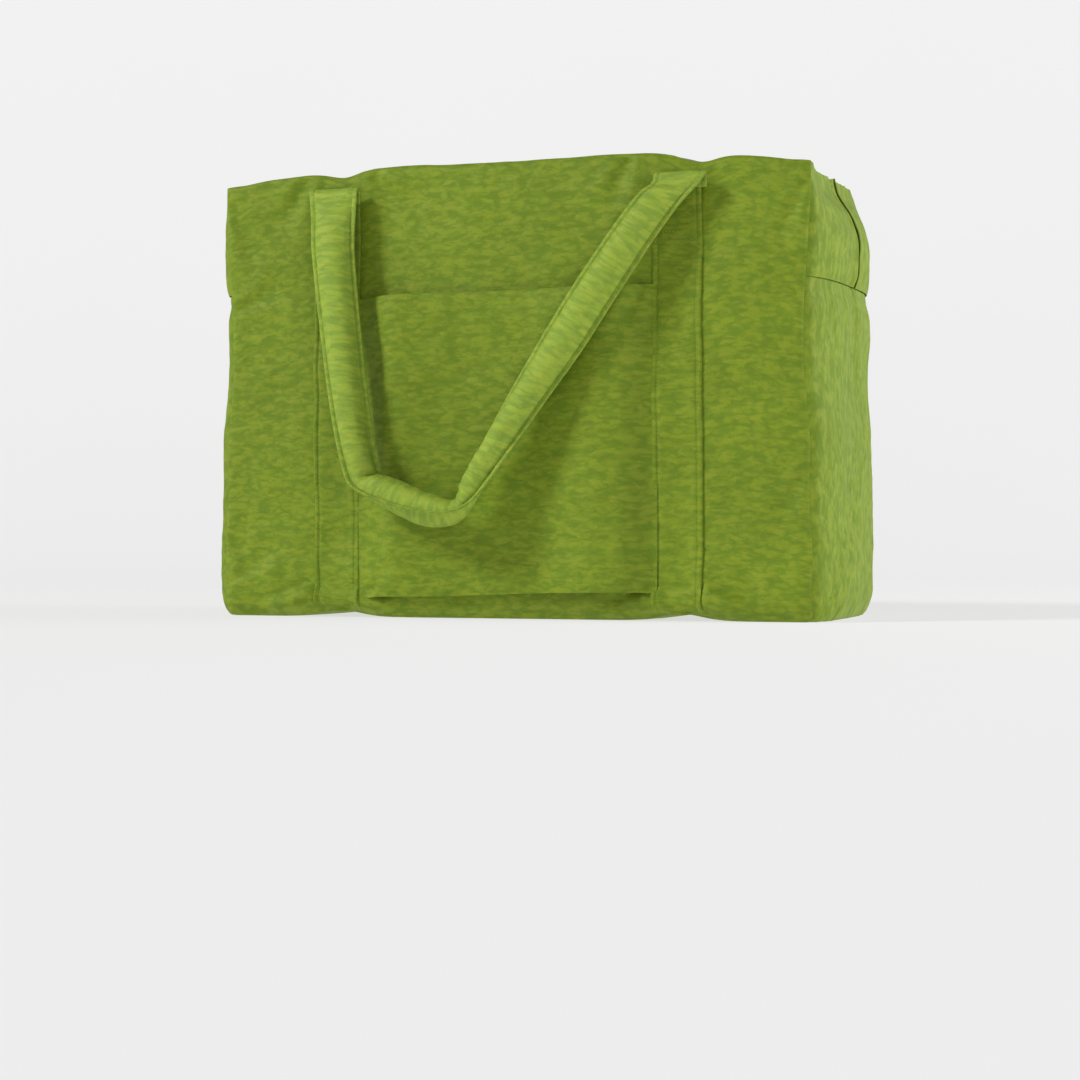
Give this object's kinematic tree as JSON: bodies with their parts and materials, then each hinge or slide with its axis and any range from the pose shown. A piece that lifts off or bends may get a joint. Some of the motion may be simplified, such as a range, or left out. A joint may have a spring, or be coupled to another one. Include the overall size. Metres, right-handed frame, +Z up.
{
  "type": "travel duffel bag",
  "caption": "Soft boxy travel duffel with a zipped top, two padded carrying handles on sewn webs, and a sleeve that slips over a suitcase's trolley handle.",
  "frame": {"origin": "middle of the flat underside, on the surface that the bag stands on", "axes": "+X to the right-hand end as seen from the side with the trolley sleeve, which faces -Y; +Z up"},
  "size_m": [0.5318, 0.3078, 0.3764],
  "materials": {
    "nylon": "washed crinkle nylon, soft sheen, lime green",
    "thread": "tone-on-tone sewing thread, a little paler than the cloth",
    "tape": "woven zip tape and seam binding, matte",
    "coil": "nylon zip coil in the cloth's colour",
    "zip_metal": "plain zip slider, pull and stops",
    "foam": "soft handle filling, hidden in the cover"
  },
  "bodies": {
    "bag": {"back_panel": "nylon", "front_panel": "nylon", "gusset": "nylon", "end_strip_left_back": "nylon", "end_strip_left_front": "nylon", "end_strip_right_back": "nylon", "end_strip_right_front": "nylon", "trolley_sleeve": "nylon", "back_web_left": "nylon", "back_web_right": "nylon", "front_web_left": "nylon", "front_web_right": "nylon", "back_tack_left": "thread", "back_tack_right": "thread", "front_tack_left": "thread", "front_tack_right": "thread", "seam_binding_back": "tape", "seam_binding_front": "tape", "zip_tape_left": "tape", "zip_tape_right": "tape", "zip_coil_left": "coil", "zip_coil_right": "coil", "zip_stop_left": "zip_metal", "zip_stop_right": "zip_metal"},
    "back_flap": {"top_strip_back": "nylon", "zip_tape_back": "tape", "zip_coil_back": "coil"},
    "front_flap": {"top_strip_front": "nylon", "zip_tape_front": "tape", "zip_coil_front": "coil"},
    "slider": {"zip_slider": "zip_metal"},
    "pull": {"zip_pull": "zip_metal"},
    "back_handle": {"back_handle_cover": "nylon", "back_handle_pad": "foam"},
    "front_handle": {"front_handle_cover": "nylon", "front_handle_pad": "foam"}
  },
  "joints": [
    {"name": "mouth_back", "type": "hinge", "parent": "bag", "child": "back_flap", "pos_m": [0, -0.1012, 0.362], "axis": [1, 0, 0], "range_deg": [0, 85]},
    {"name": "mouth_front", "type": "hinge", "parent": "bag", "child": "front_flap", "pos_m": [0, 0.1012, 0.362], "axis": [-1, 0, 0], "range_deg": [0, 85]},
    {"name": "zip_slide", "type": "slide", "parent": "bag", "child": "slider", "axis": [1, 0, 0], "range_m": [0, 0.41]},
    {"name": "pull_swing", "type": "hinge", "parent": "slider", "child": "pull", "pos_m": [-0.205, 0, 0.3742], "axis": [0, -1, 0], "range_deg": [0, 190]},
    {"name": "back_handle_swing", "type": "hinge", "parent": "bag", "child": "back_handle", "pos_m": [0, -0.113, 0.3565], "axis": [-1, 0, 0], "range_deg": [0, 165]},
    {"name": "front_handle_swing", "type": "hinge", "parent": "bag", "child": "front_handle", "pos_m": [0, 0.113, 0.3565], "axis": [1, 0, 0], "range_deg": [0, 165]}
  ],
  "couplings": [
    {"joint": "mouth_front", "follows": "mouth_back", "ratio": 1}
  ]
}
